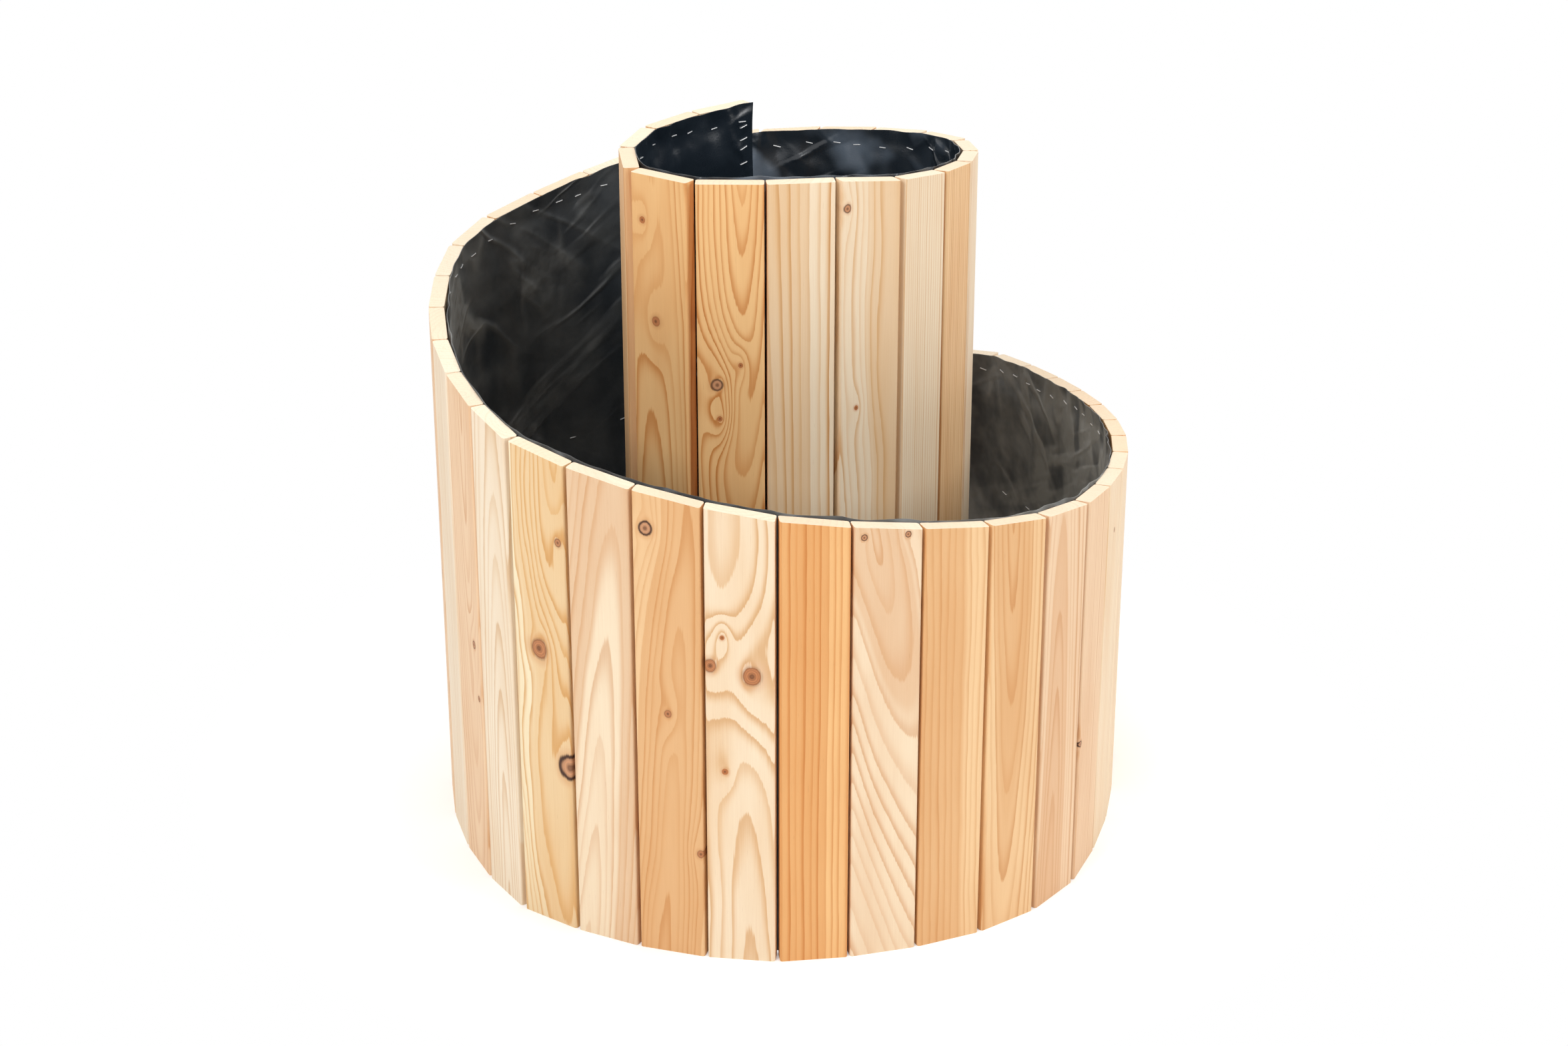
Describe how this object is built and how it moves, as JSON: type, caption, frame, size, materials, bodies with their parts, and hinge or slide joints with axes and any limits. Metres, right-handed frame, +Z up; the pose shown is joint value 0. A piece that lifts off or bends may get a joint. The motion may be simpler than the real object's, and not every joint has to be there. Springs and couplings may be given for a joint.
{
  "type": "spiral raised garden bed",
  "caption": "Raised planting bed of upright timber boards hinged on a stapled liner film and rolled into a spiral, its top sloping down to the low end.",
  "frame": {"origin": "on the floor, under the middle of the outline's box", "axes": "+Z up, -Y towards the viewer of the picture, +X to the viewer's right; the outline is longest along Y"},
  "size_m": [0.9656, 1.1728, 0.955],
  "materials": {
    "wood": "planed, untreated",
    "film": "soft sheen",
    "staple_wire": "zinc bright"
  },
  "bodies": {
    "wall": {"stave_02": "wood", "stave_03": "wood", "stave_04": "wood", "stave_05": "wood", "stave_06": "wood", "stave_07": "wood", "stave_08": "wood", "stave_09": "wood", "stave_10": "wood", "stave_11": "wood", "stave_12": "wood", "stave_13": "wood", "stave_14": "wood", "stave_15": "wood", "stave_16": "wood", "stave_17": "wood", "stave_18": "wood", "stave_19": "wood", "stave_20": "wood", "stave_21": "wood", "stave_22": "wood", "stave_23": "wood", "stave_24": "wood", "stave_25": "wood", "stave_26": "wood", "stave_27": "wood", "stave_28": "wood", "stave_29": "wood", "stave_30": "wood", "stave_31": "wood", "stave_32": "wood", "stave_33": "wood", "stave_34": "wood", "stave_35": "wood", "stave_36": "wood", "stave_37": "wood", "stave_38": "wood", "stave_39": "wood", "stave_40": "wood", "stave_41": "wood", "stave_42": "wood", "stave_43": "wood", "stave_44": "wood", "stave_45": "wood", "stave_46": "wood", "stave_47": "wood", "stave_48": "wood", "stave_49": "wood", "stave_50": "wood", "stave_51": "wood", "liner": "film", "staples": "staple_wire"},
    "tall_end": {"stave_01": "wood", "liner_tall_end": "film", "staples_tall_end": "staple_wire"},
    "low_end": {"stave_52": "wood", "liner_low_end": "film", "staples_low_end": "staple_wire"}
  },
  "joints": [
    {"name": "tall_end_hinge", "type": "hinge", "parent": "wall", "child": "tall_end", "pos_m": [-0.1159, 0.0651, 0], "axis": [0, 0, -1], "range_deg": [-12, 75]},
    {"name": "low_end_hinge", "type": "hinge", "parent": "wall", "child": "low_end", "pos_m": [0.0165, 0.4789, 0], "axis": [0, 0, 1], "range_deg": [-26, 30]}
  ]
}
